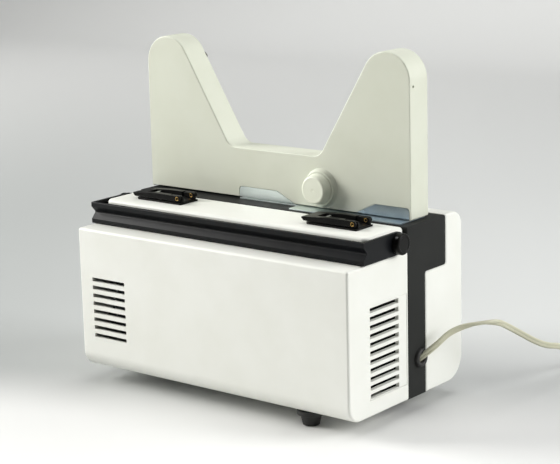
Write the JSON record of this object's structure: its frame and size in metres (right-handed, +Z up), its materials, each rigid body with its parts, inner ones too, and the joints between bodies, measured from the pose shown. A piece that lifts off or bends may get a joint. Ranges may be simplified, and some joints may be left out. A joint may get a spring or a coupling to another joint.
{
  "type": "film projector",
  "caption": "Portable cine film projector with a raised V-shaped reel arm housing, folding carry handle, toggle clips, film door, lens and mains lead.",
  "frame": {"origin": "middle of the footprint, on the surface that the feet stand on; the mains lead isn't counted", "axes": "+X towards the lamp end, where the mains lead leaves; +Y towards the film side; +Z up"},
  "size_m": [0.5019, 0.4019, 0.336],
  "materials": {
    "casing_white": "satin moulded plastic, warm white",
    "arm_cream": "satin moulded plastic, greenish cream",
    "frame_black": "cast light alloy, black satin paint",
    "handle_black": "black moulded plastic",
    "trim_black": "black moulded plastic",
    "zinc_steel": "zinc plated sheet steel",
    "bright_steel": "bright turned steel",
    "brass": "turned brass",
    "rubber": "black rubber",
    "lead_vinyl": "beige vinyl lead",
    "plug_plastic": "beige moulded plug",
    "inner_alloy": "machined light alloy",
    "motor_steel": "grey painted steel",
    "core_steel": "stacked iron laminations",
    "winding": "taped copper winding",
    "glass": "coated glass",
    "ceramic": "glazed ceramic",
    "grey_plastic": "grey moulded plastic"
  },
  "bodies": {
    "projector_body": {"centre_frame": "frame_black", "drive_side_casing": "casing_white", "exhaust_grille": "casing_white", "film_side_casing": "casing_white", "control_tray": "grey_plastic", "rubber_feet": "rubber", "hub_caps": "trim_black", "handle_pivots": "bright_steel", "clip_bases": "trim_black", "clip_pins": "brass", "arm_bracket": "zinc_steel", "frame_screws": "bright_steel", "arm_front_shell": "arm_cream", "arm_back_cover": "arm_cream", "spindle_bushes": "brass", "feed_belt": "rubber", "take_up_belt": "rubber", "mechanism_plate": "inner_alloy", "lens_mount": "inner_alloy", "film_gate": "bright_steel", "shutter_bearings": "inner_alloy", "motor": "motor_steel", "motor_bracket": "zinc_steel", "drive_belt": "rubber", "transformer_core": "core_steel", "transformer_coil": "winding", "lamp_house": "zinc_steel", "condenser_lens": "glass", "lamp": "glass", "lamp_holder": "ceramic", "lead_grommet": "rubber", "mains_lead": "lead_vinyl", "lead_coil": "lead_vinyl", "plug_body": "plug_plastic", "plug_pins": "bright_steel"},
    "handle": {"carry_handle": "handle_black"},
    "left_clip": {"clip_lever_left": "trim_black", "clip_stud_left": "bright_steel"},
    "right_clip": {"clip_lever_right": "trim_black", "clip_stud_right": "bright_steel"},
    "film_door": {"film_door": "casing_white", "door_hinge_pins": "bright_steel"},
    "door_catch": {"door_catch": "trim_black"},
    "selector": {"selector_knob": "trim_black"},
    "framing": {"framing_knob": "trim_black"},
    "switch": {"mains_switch": "trim_black"},
    "clamp": {"clamp_knob": "arm_cream"},
    "feed_reel_drive": {"feed_spindle": "trim_black"},
    "take_up_reel_drive": {"take_up_spindle": "trim_black"},
    "feed_idler": {"feed_idler": "grey_plastic"},
    "take_up_idler": {"take_up_idler": "grey_plastic"},
    "lens": {"lens_barrel": "trim_black", "lens_glasses": "glass"},
    "focus_ring": {"focus_ring": "bright_steel"},
    "motor_rotor": {"motor_shaft": "bright_steel", "cooling_fan": "grey_plastic"},
    "shutter": {"shutter_shaft": "bright_steel", "shutter_disc": "inner_alloy"},
    "lower_sprocket": {"lower_sprocket": "bright_steel"},
    "upper_sprocket": {"upper_sprocket": "bright_steel"}
  },
  "joints": [
    {"name": "handle_swing", "type": "hinge", "parent": "projector_body", "child": "handle", "pos_m": [0, -0.017, 0.1683], "axis": [1, 0, 0], "range_deg": [-90, 0]},
    {"name": "left_clip_lift", "type": "hinge", "parent": "projector_body", "child": "left_clip", "pos_m": [-0.0809, -0.025, 0.1856], "axis": [0, 1, 0], "range_deg": [0, 100]},
    {"name": "right_clip_lift", "type": "hinge", "parent": "projector_body", "child": "right_clip", "pos_m": [0.1313, -0.025, 0.1856], "axis": [0, 1, 0], "range_deg": [0, 100]},
    {"name": "film_door_swing", "type": "hinge", "parent": "projector_body", "child": "film_door", "pos_m": [0, 0.0893, 0.0437], "axis": [-1, 0, 0], "range_deg": [0, 90]},
    {"name": "door_catch_slide", "type": "slide", "parent": "film_door", "child": "door_catch", "axis": [0, 0, -1], "range_m": [0, 0.0035], "stiffness_N_per_m": 300, "springref_m": -0.002},
    {"name": "selector_turn", "type": "hinge", "parent": "projector_body", "child": "selector", "pos_m": [0.124, 0.079, 0.119], "axis": [0, 1, 0], "range_deg": [0, 270]},
    {"name": "framing_turn", "type": "hinge", "parent": "projector_body", "child": "framing", "pos_m": [0.124, 0.079, 0.083], "axis": [0, 1, 0], "range_deg": [-90, 90]},
    {"name": "mains_switch_rock", "type": "hinge", "parent": "projector_body", "child": "switch", "pos_m": [0.124, 0.0775, 0.059], "axis": [-1, 0, 0], "range_deg": [0, 12]},
    {"name": "clamp_knob_turn", "type": "hinge", "parent": "projector_body", "child": "clamp", "pos_m": [0.0535, 0.01, 0.201], "axis": [0, 1, 0], "continuous": true},
    {"name": "feed_spindle_spin", "type": "hinge", "parent": "projector_body", "child": "feed_reel_drive", "pos_m": [-0.1382, 0.04, 0.3092], "axis": [0, 1, 0], "continuous": true},
    {"name": "take_up_spindle_spin", "type": "hinge", "parent": "projector_body", "child": "take_up_reel_drive", "pos_m": [0.1297, 0.04, 0.3092], "axis": [0, 1, 0], "continuous": true},
    {"name": "feed_idler_spin", "type": "hinge", "parent": "projector_body", "child": "feed_idler", "pos_m": [-0.10425, 0.035, 0.205], "axis": [0, 1, 0], "continuous": true},
    {"name": "take_up_idler_spin", "type": "hinge", "parent": "projector_body", "child": "take_up_idler", "pos_m": [0.09575, 0.035, 0.205], "axis": [0, 1, 0], "continuous": true},
    {"name": "lens_focus_slide", "type": "slide", "parent": "projector_body", "child": "lens", "axis": [1, 0, 0], "range_m": [-0.003, 0.003]},
    {"name": "focus_ring_turn", "type": "hinge", "parent": "lens", "child": "focus_ring", "pos_m": [-0.166, 0.056, 0.081], "axis": [1, 0, 0], "range_deg": [-150, 150]},
    {"name": "motor_spin", "type": "hinge", "parent": "projector_body", "child": "motor_rotor", "pos_m": [-0.09, -0.05, 0.081], "axis": [1, 0, 0], "continuous": true},
    {"name": "shutter_spin", "type": "hinge", "parent": "projector_body", "child": "shutter", "pos_m": [-0.07, 0.014, 0.081], "axis": [1, 0, 0], "continuous": true},
    {"name": "lower_sprocket_spin", "type": "hinge", "parent": "projector_body", "child": "lower_sprocket", "pos_m": [-0.086, 0.03, 0.057], "axis": [0, 1, 0], "continuous": true},
    {"name": "upper_sprocket_spin", "type": "hinge", "parent": "projector_body", "child": "upper_sprocket", "pos_m": [-0.086, 0.03, 0.105], "axis": [0, 1, 0], "continuous": true}
  ],
  "couplings": [
    {"joint": "feed_idler_spin", "follows": "feed_spindle_spin", "ratio": 1.3636},
    {"joint": "take_up_idler_spin", "follows": "take_up_spindle_spin", "ratio": 1.3636},
    {"joint": "focus_ring_turn", "follows": "lens_focus_slide", "rad_per_m": 872.66},
    {"joint": "shutter_spin", "follows": "motor_spin", "ratio": 1.2941},
    {"joint": "lower_sprocket_spin", "follows": "motor_spin", "ratio": 0.10784},
    {"joint": "upper_sprocket_spin", "follows": "motor_spin", "ratio": -0.10784}
  ]
}
